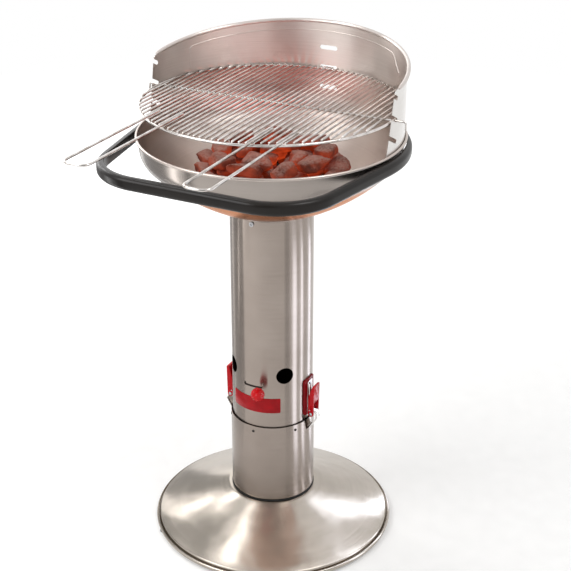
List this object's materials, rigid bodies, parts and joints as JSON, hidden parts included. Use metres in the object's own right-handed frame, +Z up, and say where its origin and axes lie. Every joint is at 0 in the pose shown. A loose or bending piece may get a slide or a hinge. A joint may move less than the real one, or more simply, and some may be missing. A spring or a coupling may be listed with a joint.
{
  "type": "pedestal charcoal barbecue",
  "caption": "Stainless pedestal barbecue: spun base, stacked tubes with latches and air control, bowl with windshield, bail handle and a liftable wire cooking grid.",
  "frame": {"origin": "on the floor under the tube's axis, on the underside of the ballast", "axes": "+Z up along the tube, -Y towards the cook and the wire handles, +X to the right as the part faces the cook"},
  "size_m": [0.529, 0.7098, 0.9881],
  "materials": {
    "steel": "satin polished stainless",
    "chrome": "bright plated",
    "black_plastic": "heat resistant, satin",
    "black_rubber": "matte",
    "red_plastic": "gloss",
    "red_plate": "gloss",
    "ballast_iron": "black paint",
    "grate_iron": "heat darkened",
    "charcoal": "charred, glowing"
  },
  "bodies": {
    "stand": {"base_disc": "steel", "lower_tube": "steel", "ash_pot": "steel", "seat_ring": "steel", "upper_tube": "steel", "damper_rest": "steel", "bowl": "steel", "bowl_collar": "steel", "windshield": "steel", "shield_roll": "steel", "neck_screws": "chrome", "neck_nuts": "chrome", "tube_rivets": "chrome", "handle_bolts": "chrome", "handle_nuts": "chrome", "latch_bracket_right": "chrome", "latch_bracket_left": "chrome", "latch_pivot_right": "chrome", "latch_pivot_left": "chrome", "latch_rivets": "chrome", "tie_bolts": "chrome", "tie_nuts": "chrome", "tie_washers": "chrome", "handle_bar": "black_plastic", "seal_ring": "black_rubber", "foot_pads": "black_rubber", "latch_pad_right": "red_plastic", "latch_pad_left": "red_plastic", "name_plate": "red_plate", "base_ballast": "ballast_iron", "coal_grate": "grate_iron", "charcoal": "charcoal"},
    "air_control": {"air_damper": "steel", "air_stem": "chrome", "air_stem_nut": "chrome", "air_knob": "red_plastic"},
    "latch_lever_right": {"latch_lever_right": "red_plastic", "latch_hook_pin_right": "chrome"},
    "latch_hook_right": {"latch_hook_right": "chrome"},
    "latch_lever_left": {"latch_lever_left": "red_plastic", "latch_hook_pin_left": "chrome"},
    "latch_hook_left": {"latch_hook_left": "chrome"},
    "cooking_grid": {"grid_ring": "chrome", "grid_wires": "chrome", "grid_cross_wire": "chrome", "grid_tongue": "chrome", "grid_hook_right": "chrome", "grid_hook_left": "chrome", "grid_handle_right": "chrome", "grid_handle_left": "chrome"}
  },
  "joints": [
    {"name": "air_turn", "type": "hinge", "parent": "stand", "child": "air_control", "pos_m": [0, 0, 0.34], "axis": [0, 0, 1], "range_deg": [-26.2, 0]},
    {"name": "latch_open_right", "type": "hinge", "parent": "stand", "child": "latch_lever_right", "pos_m": [0.091, 0, 0.265], "axis": [0, 1, 0], "range_deg": [0, 90]},
    {"name": "hook_swing_right", "type": "hinge", "parent": "latch_lever_right", "child": "latch_hook_right", "pos_m": [0.0885, 0, 0.2725], "axis": [0, 1, 0], "range_deg": [-90, 0]},
    {"name": "latch_open_left", "type": "hinge", "parent": "stand", "child": "latch_lever_left", "pos_m": [-0.091, 0, 0.265], "axis": [0, -1, 0], "range_deg": [0, 90]},
    {"name": "hook_swing_left", "type": "hinge", "parent": "latch_lever_left", "child": "latch_hook_left", "pos_m": [-0.0885, 0, 0.2725], "axis": [0, -1, 0], "range_deg": [-90, 0]},
    {"name": "grid_draw", "type": "slide", "parent": "stand", "child": "cooking_grid", "axis": [0, -0.891, 0.454], "range_m": [0, 0.06]}
  ],
  "couplings": [
    {"joint": "hook_swing_right", "follows": "latch_open_right", "ratio": -1},
    {"joint": "hook_swing_left", "follows": "latch_open_left", "ratio": -1}
  ]
}
